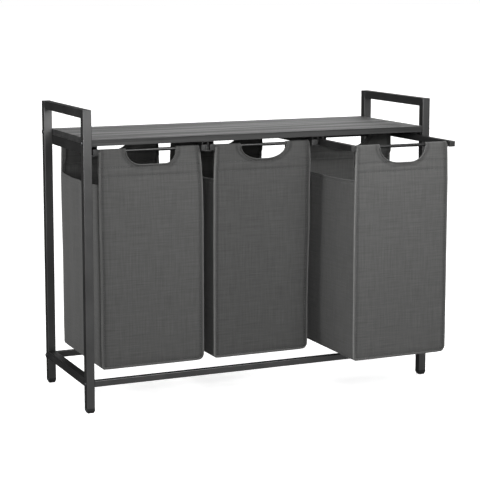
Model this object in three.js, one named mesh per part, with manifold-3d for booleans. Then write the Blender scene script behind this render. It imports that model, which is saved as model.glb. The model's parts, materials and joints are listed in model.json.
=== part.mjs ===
// Three-bag laundry sorter: a square-tube frame with a wood-grain shelf, and three fabric bags
// that hang from sliding runners under it. Millimetres, +Z up, the front faces -Y.
// The origin is on the floor, under the middle of the whole object's box.
import * as THREE from 'three';
import { mergeVertices } from 'three/addons/utils/BufferGeometryUtils.js';
import Module from 'manifold-3d';

const wasm = await Module();
wasm.setup();

// ---------------------------------------------------------------- driving dimensions
const WIDTH = 925;             // across the outer faces of the posts
const DEPTH = 330;             // across the front and rear faces of the posts
const HEIGHT = 720;            // floor to the top of the side handles
const TUBE = 20;               // square tube of the side frames
const TUBE_WALL = 1.2;         // of the frame's tubes and of the runners
const GAP = 0.3;               // left between pieces that touch

const FOOT_HEIGHT = 12;        // floor to the cut end of the post
const FOOT_BEVEL = 7;          // height of the sloping part of the foot
const FOOT_TIP = 14;           // width of the face that stands on the floor
const FOOT_STEM = 18;          // how far the plug goes up into the post

const BAR_BOTTOM = 63;         // underside of the lower bars
const CROSSBAR = 15;           // square tube of the front and rear crossbars

const SHELF_TOP = 650;
const SHELF_THICK = 15;
const SHELF_SETBACK = 3;       // shelf edge behind the face of the posts

const BOLT_R = 2.9;
const BOLT_REACH = 12;         // how far a bolt goes past the post
const BOLT_HOLE_SPARE = 2;     // how much deeper its hole in the shelf is
const BOLT_HEAD = [[0, 3.2], [3, 2.9], [5, 1.9], [6.5, 0.4], [6.5, 0]];   // radius, height

const BAYS = 3;
const PITCH = 295;             // between the middles of two bags
const TRAVEL = 200;            // how far a bag slides out, stop to stop
const STOP_PLAY = 1;           // spare room at a stop, and from a stop or lip to a runner
const PULLED_OUT = [0, 0, 165];

const RUNNER_INNER = 129.5;    // bag middle to the inner face of a runner
const RUNNER_SIZE = 14;        // square tube of a runner
const RUNNER_BOTTOM = 613;
const RUNNER_FRONT = -162;     // front of the end cap, bag pushed in
const RUNNER_REAR = 150;
const CAP_THICK = 3;
const CAP_PLUG = 12;
const CAP_RIB = 1.4;           // width of the ribs on the face of an end cap
const CAP_RIB_PITCH = 2.7;
const CAP_RIB_RISE = 1.6;
const CAP_RIB_MARGIN = 1.5;    // end of a rib to the edge of the cap
const GLIDE_REAR = 158;        // back of the rear glide
const GLIDE_HEAD = 24;         // length of the raised head of the rear glide
const GLIDE_HEAD_INSET = 5;    // the head stays clear of the lip of the guide rail
const GLIDE_PLUG = 8;
const GLIDE_PLAY = 0.5;        // between the head and the guide rail above it

const GUIDE_SHEET = 1.4;       // steel sheet of the guide rails
const GUIDE_FRONT = -157;
const GUIDE_REAR = 160;
const GUIDE_FOOT = 9;          // how far the bottom flange reaches from the web
const GUIDE_FLANGE = 15;       // how far the flange under the shelf reaches

const ROD_R = 4;
const SLEEVE_R = 5.7;          // hem around the rod

const BAG_BOTTOM = 100;
const BAG_FRONT = -150;
const BAG_REAR = 140;
const BAG_WALL = 2;
const BAG_CORNER = 6;
const BAG_ROUND = 12;          // rounding of the bottom edge
const BAG_SIDE_TOP = 542;      // top edge of the two lower side panels
const BAG_HALF_WIDTHS = [[100, 130], [330, 131], [500, 132], [560, 132], [625, 127]];
const HANDLE_HALF = 63;        // half width of the hand hole
const HANDLE_BOTTOM = 586;
const HANDLE_RADIUS = 36;
const BASE_BOARD_THICK = 3;

const OVERLAP = 1;             // how far a joined or cutting solid runs past the face it meets
const ROUND_SIDES = 16;
const SLEEVE_SIDES = 20;
const ARC_STEPS = 5;           // of a corner of the hand hole
const CORNER_STEPS = 3;        // of an upright corner of the bag
const ROUND_SHARES = [0, 0.12, 0.5, 1];   // levels that the bag's bottom rounding is made of

// ---------------------------------------------------------------- derived places
const outer = WIDTH / 2;
const inner = outer - TUBE;
const front = -DEPTH / 2;
const rear = DEPTH / 2;
const shelfBottom = SHELF_TOP - SHELF_THICK;
const shelfBoltY = rear - TUBE / 2;
const shelfBoltZ = SHELF_TOP - SHELF_THICK / 2;
const crossbarY = rear - CROSSBAR / 2;
const crossbarZ = BAR_BOTTOM + CROSSBAR / 2;
const runnerTop = RUNNER_BOTTOM + RUNNER_SIZE;
const rodZ = RUNNER_BOTTOM + RUNNER_SIZE / 2;
const rodFrontY = BAG_FRONT + SLEEVE_R;
const rodRearY = BAG_REAR - SLEEVE_R;
const rodHalf = RUNNER_INNER + RUNNER_SIZE - TUBE_WALL - GAP;
const bagTopHalf = BAG_HALF_WIDTHS.at(-1)[1];
const bagY = (BAG_FRONT + BAG_REAR) / 2;
const bagHalfDepth = (BAG_REAR - BAG_FRONT) / 2;
const pastBag = 2 * bagHalfDepth;
const guideTop = shelfBottom - GAP;
const glideTop = guideTop - GUIDE_SHEET - GLIDE_PLAY;
const endWebX = inner - GAP - GUIDE_SHEET / 2;
const boxFront = RUNNER_FRONT - Math.max(...PULLED_OUT);
const boxMiddleY = (boxFront + rear) / 2;

// ---------------------------------------------------------------- solids
const solidOf = (geometry) => {
  geometry.deleteAttribute('normal');
  geometry.deleteAttribute('uv');
  const merged = mergeVertices(geometry, 1e-4);
  return new wasm.Manifold(new wasm.Mesh({
    numProp: 3,
    vertProperties: new Float32Array(merged.attributes.position.array),
    triVerts: new Uint32Array(merged.index.array),
  }));
};

const geometryOf = (solid) => {
  const mesh = solid.getMesh();
  const geometry = new THREE.BufferGeometry();
  geometry.setAttribute('position', new THREE.BufferAttribute(mesh.vertProperties, 3));
  geometry.setIndex(new THREE.BufferAttribute(mesh.triVerts, 1));
  return geometry;
};

const block = (x0, x1, y0, y1, z0, z1) => solidOf(
  new THREE.BoxGeometry(x1 - x0, y1 - y0, z1 - z0)
    .translate((x0 + x1) / 2, (y0 + y1) / 2, (z0 + z1) / 2));

// A round bar along X from x0 to x1, centred on (y, z).
const roundBar = (x0, x1, y, z, radius, sides = ROUND_SIDES) => solidOf(
  new THREE.CylinderGeometry(radius, radius, x1 - x0, sides)
    .rotateZ(Math.PI / 2)
    .translate((x0 + x1) / 2, y, z));

// An outline drawn in X and Z, pushed along Y from y0 to y1.
const alongY = (points, y0, y1) => solidOf(
  new THREE.ExtrudeGeometry(new THREE.Shape(points.map(([x, z]) => new THREE.Vector2(x, z))),
    { depth: y1 - y0, bevelEnabled: false })
    .rotateX(Math.PI / 2)
    .translate(0, y1, 0));

// A rectangular tube that is open at both ends of one axis.
const tube = (x0, x1, y0, y1, z0, z1, axis) => {
  const inset = { x: TUBE_WALL, y: TUBE_WALL, z: TUBE_WALL, [axis]: -OVERLAP };
  return block(x0, x1, y0, y1, z0, z1).subtract(block(
    x0 + inset.x, x1 - inset.x, y0 + inset.y, y1 - inset.y, z0 + inset.z, z1 - inset.z));
};

// ---------------------------------------------------------------- materials
const finishes = {
  steel: { color: 0x222224, roughness: 0.45, metalness: 0.4 },
  plastic: { color: 0x1b1b1c, roughness: 0.55, metalness: 0 },
  nylon: { color: 0x2a2a2b, roughness: 0.5, metalness: 0 },
  bolt: { color: 0x2b2b2d, roughness: 0.35, metalness: 0.7 },
  shelf: { color: 0x5c5c5e, roughness: 0.6, metalness: 0 },
  fabric: { color: 0x575757, roughness: 0.9, metalness: 0 },
  stiffener: { color: 0x3a3a3a, roughness: 0.8, metalness: 0 },
};

const piece = (name, solid, finish) => {
  const mesh = new THREE.Mesh(geometryOf(solid), new THREE.MeshStandardMaterial({
    ...finishes[finish], flatShading: true,
  }));
  mesh.name = name;
  return mesh;
};

// ---------------------------------------------------------------- frame
// The X span of the posts and bars of one side.
const tubeSpan = (side) => (side < 0 ? [-outer, -inner] : [inner, outer]);

// A post: square tube closed at the top, open at the bottom for the foot, drilled for two bolts.
const post = (side, end) => {
  const [x0, x1] = tubeSpan(side);
  const [y0, y1] = end < 0 ? [front, front + TUBE] : [rear - TUBE, rear];
  const bore = block(x0 + TUBE_WALL, x1 - TUBE_WALL, y0 + TUBE_WALL, y1 - TUBE_WALL,
    0, HEIGHT - TUBE_WALL);
  let solid = block(x0, x1, y0, y1, FOOT_HEIGHT, HEIGHT).subtract(bore);
  for (const [y, z] of [[end * shelfBoltY, shelfBoltZ], [end * crossbarY, crossbarZ]]) {
    solid = solid.subtract(roundBar(x0 - OVERLAP, x1 + OVERLAP, y, z, BOLT_R + GAP));
  }
  return solid;
};

// A foot: a plug up inside the post, a flange as wide as the tube, and a bevel down to the floor.
const foot = (side, end) => {
  const x = side * (outer - TUBE / 2);
  const y = end * (rear - TUBE / 2);
  const half = TUBE / 2;
  const stem = half - TUBE_WALL - GAP;
  const flangeTop = FOOT_HEIGHT - GAP;
  const bevel = solidOf(new THREE.CylinderGeometry(
    half * Math.SQRT2, FOOT_TIP / 2 * Math.SQRT2, FOOT_BEVEL, 4)
    .rotateY(Math.PI / 4)
    .rotateX(Math.PI / 2)
    .translate(x, y, FOOT_BEVEL / 2));
  return bevel
    .add(block(x - half, x + half, y - half, y + half, FOOT_BEVEL, flangeTop))
    .add(block(x - stem, x + stem, y - stem, y + stem,
      flangeTop - OVERLAP, FOOT_HEIGHT + FOOT_STEM));
};

// A tube between the front and rear post of one side.
const sideBar = (side, z0) => tube(...tubeSpan(side), front + TUBE + GAP, rear - TUBE - GAP,
  z0, z0 + TUBE, 'y');

// A tube between the left and right posts, flush with their front or rear faces.
const crossbar = (end) => {
  const [y0, y1] = end < 0 ? [front, front + CROSSBAR] : [rear - CROSSBAR, rear];
  return tube(-inner + GAP, inner - GAP, y0, y1, BAR_BOTTOM, BAR_BOTTOM + CROSSBAR, 'x');
};

const shelf = () => {
  const holeEnd = inner - BOLT_REACH - BOLT_HOLE_SPARE;
  let solid = block(-inner + GAP, inner - GAP, front + SHELF_SETBACK, rear - SHELF_SETBACK,
    shelfBottom, SHELF_TOP);
  for (const [x0, x1] of [[-inner, -holeEnd], [holeEnd, inner]]) {
    for (const end of [-1, 1]) {
      solid = solid.subtract(roundBar(x0, x1, end * shelfBoltY, shelfBoltZ, BOLT_R + GAP));
    }
  }
  return solid;
};

// A dome-headed bolt through a post: the head is outside, the shank points to the middle.
const bolt = (side, y, z) => {
  const tip = -TUBE - GAP - BOLT_REACH;
  const profile = [...BOLT_HEAD, [BOLT_R, 0], [BOLT_R, tip], [0, tip]];
  return solidOf(new THREE.LatheGeometry(
    profile.reverse().map(([r, h]) => new THREE.Vector2(r, h)), ROUND_SIDES)
    .rotateZ(-side * Math.PI / 2)
    .translate(side * (outer + GAP), y, z));
};

// ---------------------------------------------------------------- guide rails under the shelf
// A bent sheet rail: a flange screwed under the shelf, a web down past the runners, and a foot
// that the runners lie on. reach lists the sides (-1, 1) of the web that carry a runner. A lip
// hangs from the edge of the top flange, and a tab stops the rear glide at the end of its travel.
const guide = (x, reach) => {
  const half = GUIDE_SHEET / 2;
  const footTop = RUNNER_BOTTOM - GAP;
  const footBottom = footTop - GUIDE_SHEET;
  const tabY = RUNNER_REAR - GLIDE_HEAD - TRAVEL - STOP_PLAY;
  let solid = block(x - half, x + half, GUIDE_FRONT, GUIDE_REAR, footBottom, guideTop);
  for (const side of reach) {
    const span = (to, from = 0) => (side < 0 ? [x - to, x - from] : [x + from, x + to]);
    solid = solid
      .add(block(...span(GUIDE_FLANGE), GUIDE_FRONT, GUIDE_REAR, guideTop - GUIDE_SHEET, guideTop))
      .add(block(...span(GUIDE_FOOT), GUIDE_FRONT, GUIDE_REAR, footBottom, footTop))
      .add(block(...span(GUIDE_FLANGE, GUIDE_FLANGE - GUIDE_SHEET), GUIDE_FRONT, GUIDE_REAR,
        runnerTop + STOP_PLAY, guideTop))
      .add(block(...span(GUIDE_FLANGE), tabY - GUIDE_SHEET, tabY,
        runnerTop + STOP_PLAY, guideTop));
  }
  return solid;
};

// ---------------------------------------------------------------- one sliding bag
const runnerSpan = (side) => (side < 0
  ? [-RUNNER_INNER - RUNNER_SIZE, -RUNNER_INNER]
  : [RUNNER_INNER, RUNNER_INNER + RUNNER_SIZE]);

// A runner: open tube with a hole in its inner wall for the end of each rod.
const runner = (side) => {
  const [x0, x1] = runnerSpan(side);
  const [h0, h1] = side < 0
    ? [x1 - TUBE_WALL - OVERLAP, x1 + OVERLAP]
    : [x0 - OVERLAP, x0 + TUBE_WALL + OVERLAP];
  let solid = tube(x0, x1, RUNNER_FRONT + CAP_THICK, RUNNER_REAR, RUNNER_BOTTOM, runnerTop, 'y');
  for (const y of [rodFrontY, rodRearY]) {
    solid = solid.subtract(roundBar(h0, h1, y, rodZ, ROD_R + GAP));
  }
  return solid;
};

// The inside of a runner, less a fitting gap, from y0 to y1: what plugs into its end.
const plug = (side, y0, y1) => {
  const [x0, x1] = runnerSpan(side);
  const inset = TUBE_WALL + GAP;
  return block(x0 + inset, x1 - inset, y0, y1, RUNNER_BOTTOM + inset, runnerTop - inset);
};

const frontCap = (side) => {
  const [x0, x1] = runnerSpan(side);
  const faceBack = RUNNER_FRONT + CAP_THICK - GAP;
  const ribBack = RUNNER_FRONT + CAP_RIB_RISE;
  let solid = block(x0, x1, ribBack, faceBack, RUNNER_BOTTOM, runnerTop)
    .add(plug(side, faceBack - OVERLAP, RUNNER_FRONT + CAP_PLUG));
  for (const place of [-2, -1, 0, 1, 2]) {
    const middle = (x0 + x1) / 2 + place * CAP_RIB_PITCH;
    solid = solid.add(block(middle - CAP_RIB / 2, middle + CAP_RIB / 2,
      RUNNER_FRONT, ribBack + OVERLAP,
      RUNNER_BOTTOM + CAP_RIB_MARGIN, runnerTop - CAP_RIB_MARGIN));
  }
  return solid;
};

// A rear glide: a plug in the back of the runner, and a raised head that runs under the guide's
// flange, so that the runner can't tip when the bag is out.
const rearGlide = (side) => {
  const [x0, x1] = runnerSpan(side);
  const [h0, h1] = side < 0 ? [x0, x1 - GLIDE_HEAD_INSET] : [x0 + GLIDE_HEAD_INSET, x1];
  const back = RUNNER_REAR + GAP;
  return block(x0, x1, back, GLIDE_REAR, RUNNER_BOTTOM, runnerTop)
    .add(block(h0, h1, back, GLIDE_REAR, runnerTop - OVERLAP, glideTop))
    .add(block(h0, h1, RUNNER_REAR - GLIDE_HEAD, back + OVERLAP, runnerTop + GAP, glideTop))
    .add(plug(side, RUNNER_REAR - GLIDE_PLUG, back + OVERLAP));
};

const rod = (y) => roundBar(-rodHalf, rodHalf, y, rodZ, ROD_R);

const halfWidthAt = (z) => {
  const row = BAG_HALF_WIDTHS.findIndex(([level]) => level >= z);
  if (row < 0) return bagTopHalf;
  if (row === 0) return BAG_HALF_WIDTHS[0][1];
  const [[z0, w0], [z1, w1]] = BAG_HALF_WIDTHS.slice(row - 1, row + 1);
  return w0 + (w1 - w0) * (z - z0) / (z1 - z0);
};

// A closed block with the bag's outline, shrunk all round by inset: upright sides that follow
// the width table, and rounded upright and bottom edges. It is extruded with one step for each
// level, and the points of each level are then moved to their place.
const bagBlock = (inset, bottom, top) => {
  const r = BAG_CORNER;
  const half = 2 * r;
  const shape = new THREE.Shape();
  for (const [x, y, start] of [[1, -1, -0.5], [1, 1, 0], [-1, 1, 0.5], [-1, -1, 1]]) {
    shape.absarc(x * (half - r), y * (half - r), r, start * Math.PI, (start + 0.5) * Math.PI);
  }
  const roundLevels = ROUND_SHARES.map((part) => bottom + part * BAG_ROUND);
  const sideLevels = BAG_HALF_WIDTHS.map(([z]) => z).filter((z) => z > bottom + BAG_ROUND);
  const levels = [...roundLevels, ...sideLevels, top];
  const steps = levels.length - 1;
  const geometry = new THREE.ExtrudeGeometry(shape, {
    depth: steps, steps, curveSegments: CORNER_STEPS, bevelEnabled: false,
  });
  const position = geometry.attributes.position;
  for (let i = 0; i < position.count; i += 1) {
    const z = levels[Math.round(position.getZ(i))];
    const below = Math.max(0, 1 - (z - bottom) / BAG_ROUND);
    const tuck = BAG_ROUND * (1 - Math.sqrt(1 - below * below));
    const growX = halfWidthAt(z) - inset - half - tuck;
    const growY = bagHalfDepth - inset - half - tuck;
    const [x, y] = [position.getX(i), position.getY(i)];
    position.setXYZ(i, x + Math.sign(x) * growX, bagY + y + Math.sign(y) * growY, z);
  }
  return solidOf(geometry);
};

// The hand hole through the front and rear panels: a U, open at the top.
const handHole = () => {
  const points = [[HANDLE_HALF, runnerTop]];
  for (const side of [1, -1]) {
    for (let step = 0; step <= ARC_STEPS; step += 1) {
      const turn = (side > 0 ? step : ARC_STEPS - step) / ARC_STEPS * Math.PI / 2;
      points.push([
        side * (HANDLE_HALF - HANDLE_RADIUS + HANDLE_RADIUS * Math.cos(turn)),
        HANDLE_BOTTOM + HANDLE_RADIUS - HANDLE_RADIUS * Math.sin(turn),
      ]);
    }
  }
  points.push([-HANDLE_HALF, runnerTop]);
  return alongY(points.reverse(), BAG_FRONT - OVERLAP, BAG_REAR + OVERLAP);
};

// The bag: thin walls, low side panels, tall front and rear panels that end in a sleeve round
// each rod, and a hand hole in both.
const bag = () => {
  const above = runnerTop + SLEEVE_R;
  let solid = bagBlock(0, BAG_BOTTOM, above)
    .subtract(bagBlock(BAG_WALL, BAG_BOTTOM + BAG_WALL, above + OVERLAP))
    .subtract(block(-pastBag, pastBag, -pastBag, pastBag, rodZ, above + OVERLAP))
    .subtract(block(-pastBag, pastBag, BAG_FRONT + BAG_WALL, BAG_REAR - BAG_WALL,
      BAG_SIDE_TOP, above));
  for (const y of [rodFrontY, rodRearY]) {
    solid = solid
      .add(roundBar(-bagTopHalf, bagTopHalf, y, rodZ, SLEEVE_R, SLEEVE_SIDES))
      .subtract(roundBar(-pastBag, pastBag, y, rodZ, ROD_R + GAP));
  }
  return solid.subtract(handHole());
};

const baseBoard = () => {
  const inset = BAG_ROUND + BAG_WALL + BAG_CORNER / 2;
  const halfX = BAG_HALF_WIDTHS[0][1] - inset;
  const halfY = bagHalfDepth - inset;
  const bottom = BAG_BOTTOM + BAG_WALL + GAP;
  return block(-halfX, halfX, bagY - halfY, bagY + halfY, bottom, bottom + BASE_BOARD_THICK);
};

const bagUnit = (number) => {
  const unit = new THREE.Group();
  const name = (word) => `bag_${number}_${word}`;
  unit.add(piece(name('fabric'), bag(), 'fabric'));
  unit.add(piece(name('base_board'), baseBoard(), 'stiffener'));
  unit.add(piece(name('rod_front'), rod(rodFrontY), 'steel'));
  unit.add(piece(name('rod_rear'), rod(rodRearY), 'steel'));
  for (const [side, word] of [[-1, 'left'], [1, 'right']]) {
    unit.add(piece(name(`runner_${word}`), runner(side), 'steel'));
    unit.add(piece(name(`front_cap_${word}`), frontCap(side), 'plastic'));
    unit.add(piece(name(`rear_glide_${word}`), rearGlide(side), 'nylon'));
  }
  return unit;
};

// ---------------------------------------------------------------- assembly
const sorter = new THREE.Group();
sorter.position.y = -boxMiddleY;

for (const [side, sideWord] of [[-1, 'left'], [1, 'right']]) {
  sorter.add(piece(`top_bar_${sideWord}`, sideBar(side, HEIGHT - TUBE), 'steel'));
  sorter.add(piece(`lower_side_bar_${sideWord}`, sideBar(side, BAR_BOTTOM), 'steel'));
  for (const [end, endWord] of [[-1, 'front'], [1, 'rear']]) {
    const corner = `${endWord}_${sideWord}`;
    sorter.add(piece(`post_${corner}`, post(side, end), 'steel'));
    sorter.add(piece(`foot_${corner}`, foot(side, end), 'plastic'));
    sorter.add(piece(`shelf_bolt_${corner}`, bolt(side, end * shelfBoltY, shelfBoltZ), 'bolt'));
    sorter.add(piece(`crossbar_bolt_${corner}`, bolt(side, end * crossbarY, crossbarZ), 'bolt'));
  }
}
sorter.add(piece('crossbar_front', crossbar(-1), 'steel'));
sorter.add(piece('crossbar_rear', crossbar(1), 'steel'));
sorter.add(piece('shelf_board', shelf(), 'shelf'));

sorter.add(piece('guide_left_end', guide(-endWebX, [1]), 'steel'));
sorter.add(piece('guide_centre_left', guide(-PITCH / 2, [-1, 1]), 'steel'));
sorter.add(piece('guide_centre_right', guide(PITCH / 2, [-1, 1]), 'steel'));
sorter.add(piece('guide_right_end', guide(endWebX, [-1]), 'steel'));

for (let number = 1; number <= BAYS; number += 1) {
  const unit = bagUnit(number);
  unit.position.set((number - (BAYS + 1) / 2) * PITCH, -PULLED_OUT[number - 1], 0);
  sorter.add(unit);
}

export default sorter;
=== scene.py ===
"""Looks of a three-bag laundry sorter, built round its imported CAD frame.

Metres, +Z up, the front faces -Y. Places and sizes come from the CAD nodes' boxes.
"""
import json
import math

import bmesh
import bpy
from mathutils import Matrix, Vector, noise


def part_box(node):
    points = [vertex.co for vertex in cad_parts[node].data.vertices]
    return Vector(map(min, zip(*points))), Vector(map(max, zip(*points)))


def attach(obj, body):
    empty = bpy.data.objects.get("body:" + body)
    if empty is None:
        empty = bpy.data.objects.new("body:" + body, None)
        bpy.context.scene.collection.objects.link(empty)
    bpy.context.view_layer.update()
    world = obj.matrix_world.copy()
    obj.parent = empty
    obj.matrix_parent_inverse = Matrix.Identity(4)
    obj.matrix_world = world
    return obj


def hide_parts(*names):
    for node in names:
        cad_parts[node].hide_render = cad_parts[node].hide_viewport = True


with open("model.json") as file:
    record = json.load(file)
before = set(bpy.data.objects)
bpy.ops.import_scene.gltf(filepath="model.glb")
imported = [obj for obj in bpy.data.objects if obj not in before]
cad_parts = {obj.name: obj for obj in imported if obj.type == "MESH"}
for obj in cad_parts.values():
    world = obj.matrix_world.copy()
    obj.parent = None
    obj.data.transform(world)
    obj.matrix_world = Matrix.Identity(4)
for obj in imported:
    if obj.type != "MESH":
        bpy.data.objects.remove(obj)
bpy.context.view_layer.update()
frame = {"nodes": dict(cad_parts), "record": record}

MM = 0.001
FRONT, REAR = -1, 1
LEFT, RIGHT = -1, 1
X, Y, Z = 0, 1, 2
BAGS = (1, 2, 3)
ENDS = {"front": FRONT, "rear": REAR}
SIDES = {"left": LEFT, "right": RIGHT}
CORNERS = [f"{end}_{side}" for end in ENDS for side in SIDES]


# -------------------- small helpers
def smoothstep(low, high, value):
    t = min(1.0, max(0.0, (value - low) / (high - low)))
    return t * t * (3 - 2 * t)


def lerp(a, b, t):
    return a + (b - a) * t


def spread(start, stop, step):
    """Evenly spaced values from start to stop, about step apart, both ends included."""
    count = max(1, round(abs(stop - start) / step))
    return [lerp(start, stop, i / count) for i in range(count + 1)]


def add_object(name, data):
    item = bpy.data.objects.new(name, data)
    bpy.context.scene.collection.objects.link(item)
    return item


def new_piece(name, mesh, body, materials, replaces=()):
    """A mesh object that rides on a CAD body."""
    piece = add_object(name, mesh)
    mesh.materials.clear()
    for material in materials:
        mesh.materials.append(material)
    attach(piece, body)
    if replaces:
        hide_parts(*replaces)
    return piece


def mesh_from(name, points, faces, smooth=True):
    mesh = bpy.data.meshes.new(name)
    mesh.from_pydata([tuple(p) for p in points], [], faces)
    mesh.validate()
    mesh.polygons.foreach_set("use_smooth", [smooth] * len(mesh.polygons))
    return mesh


def body_of_node(node):
    return next(b for b, members in frame["record"]["behaviour"]["bodies"].items() if node in members)


# -------------------- materials
def add_node(tree, kind, settings=None, **inputs):
    """Adds a shader node. An input is a value or the socket it is linked from, and is named by its
    socket or, as _0 or _1, by its place."""
    node = tree.nodes.new("ShaderNode" + kind)
    for key, value in (settings or {}).items():
        setattr(node, key, value)
    for key, value in inputs.items():
        socket = node.inputs[int(key[1:])] if key[1:].isdigit() else node.inputs[key]
        if isinstance(value, bpy.types.NodeSocket):
            tree.links.new(value, socket)
        else:
            socket.default_value = value
    return node


def new_material(name, **sockets):
    material = bpy.data.materials.new(name)
    material.use_nodes = True
    tree = material.node_tree
    shader = tree.nodes["Principled BSDF"]
    for key, value in sockets.items():
        shader.inputs[key.replace("_", " ")].default_value = value
    return material, tree, shader


def feed(shader, socket, value):
    shader.id_data.links.new(value, shader.inputs[socket])


def object_coordinates(tree):
    return add_node(tree, "TexCoord").outputs["Object"]


def stretched_noise(tree, vector, scale, detail=2.0, roughness=0.5, distortion=0.0):
    """Noise whose grain is scale = (x, y, z) features a metre."""
    mapping = add_node(tree, "Mapping", Vector=vector, Scale=scale)
    return add_node(tree, "TexNoise", Vector=mapping.outputs[0], Scale=1.0, Detail=detail,
                    Roughness=roughness, Distortion=distortion).outputs[0]


def math_node(tree, operation, a, b=0.0):
    return add_node(tree, "Math", {"operation": operation}, _0=a, _1=b).outputs[0]


def ramp(tree, value, stops):
    """A colour ramp; stops are (place, grey or colour)."""
    node = add_node(tree, "ValToRGB", Fac=value)
    elements = node.color_ramp.elements
    while len(elements) < len(stops):
        elements.new(0.5)
    for element, (place, colour) in zip(elements, stops):
        element.position = place
        rgb = colour if isinstance(colour, tuple) else (colour,) * 3
        element.color = (*rgb, 1.0)
    return node.outputs[0]


def weighted_sum(tree, first, second):
    """The sum of two values, each given with its weight."""
    terms = [math_node(tree, "MULTIPLY", value, weight) for value, weight in (first, second)]
    return math_node(tree, "ADD", *terms)


def multiplied(tree, colour, factor):
    return add_node(tree, "MixRGB", {"blend_type": "MULTIPLY"}, Fac=1.0, Color1=colour,
                    Color2=factor).outputs[0]


def value_range(tree, value, low, high):
    """Stretches a value between 0 and 1 to the range from low to high."""
    return add_node(tree, "MapRange", Value=value, **{"From Min": 0.0, "From Max": 1.0,
                                                      "To Min": low, "To Max": high}).outputs[0]


def bump(tree, shader, height, distance, strength):
    node = add_node(tree, "Bump", Height=height, Distance=distance, Strength=strength)
    feed(shader, "Normal", node.outputs[0])


def powder_coat(name, level):
    """Black powder coat: satin, with a fine orange-peel texture."""
    material, tree, shader = new_material(name, Metallic=0.92, Specular_IOR_Level=0.5)
    shader.inputs["Specular Tint"].default_value = (0.15, 0.15, 0.15, 1.0)
    where = object_coordinates(tree)
    cloud = stretched_noise(tree, where, (14, 14, 14), 3)
    grain = stretched_noise(tree, where, (1100, 1100, 1100), 2, 0.6)
    feed(shader, "Base Color", ramp(tree, cloud, [(0.3, level * 0.91), (0.7, level * 1.09)]))
    feed(shader, "Roughness", value_range(tree, cloud, 0.32, 0.42))
    bump(tree, shader, grain, 0.05 * MM, 0.5)
    return material


def moulded_plastic(name, grey, roughness):
    """Black moulded plastic with a spark-eroded grain."""
    material, tree, shader = new_material(name, Specular_IOR_Level=0.4)
    where = object_coordinates(tree)
    grain = stretched_noise(tree, where, (1800, 1800, 1800), 3, 0.7)
    cloud = stretched_noise(tree, where, (60, 60, 60), 2)
    feed(shader, "Base Color", ramp(tree, cloud, [(0.3, grey * 0.85), (0.7, grey * 1.15)]))
    feed(shader, "Roughness", value_range(tree, grain, roughness - 0.06, roughness + 0.06))
    bump(tree, shader, grain, 0.06 * MM, 0.7)
    return material


def black_zinc():
    """Bolt heads: dark plated steel with faint mottling."""
    material, tree, shader = new_material("black_zinc", Metallic=0.85)
    where = object_coordinates(tree)
    cloud = stretched_noise(tree, where, (400, 400, 400), 3)
    feed(shader, "Base Color", ramp(tree, cloud, [(0.3, (0.03, 0.03, 0.032)), (0.7, (0.06, 0.06, 0.064))]))
    feed(shader, "Roughness", value_range(tree, cloud, 0.26, 0.4))
    bump(tree, shader, cloud, 0.03 * MM, 0.5)
    return material


def wood_grain(name, dark, light, roughness):
    """Printed charcoal wood grain: long streaks along X, with fine pores, slow
    colour bands and darker and lighter lines."""
    material, tree, shader = new_material(name, Specular_IOR_Level=0.35)
    where = object_coordinates(tree)
    bands = stretched_noise(tree, where, (1.3, 52, 52), 3, 0.55, 0.5)
    grain = stretched_noise(tree, where, (7, 260, 260), 4, 0.65, 0.4)
    pores = stretched_noise(tree, where, (60, 1500, 1500), 2, 0.6)
    lines = stretched_noise(tree, where, (2.2, 150, 150), 3, 0.6, 0.3)
    mixed = weighted_sum(tree, (bands, 0.62), (grain, 0.38))
    tone = ramp(tree, mixed, [(0.45, dark), (0.5, (dark + light) / 2), (0.55, light)])
    scores = ramp(tree, lines, [(0.36, 0.35), (0.46, 1.0), (0.6, 1.0), (0.68, 1.5)])
    feed(shader, "Base Color", multiplied(tree, tone, scores))
    feed(shader, "Roughness", value_range(tree, grain, roughness - 0.08, roughness + 0.08))
    bump(tree, shader, weighted_sum(tree, (grain, 1.0), (pores, 0.5)), 0.12 * MM, 0.6)
    return material


def fibreboard():
    """The stiffener: pressed grey board with short fibres."""
    material, tree, shader = new_material("fibreboard", Roughness=0.85)
    where = object_coordinates(tree)
    fibres = stretched_noise(tree, where, (900, 300, 900), 4, 0.7, 1.5)
    dark, light = (0.045, 0.043, 0.04), (0.085, 0.08, 0.075)
    feed(shader, "Base Color", ramp(tree, fibres, [(0.35, dark), (0.65, light)]))
    bump(tree, shader, fibres, 0.1 * MM, 0.6)
    return material


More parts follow.
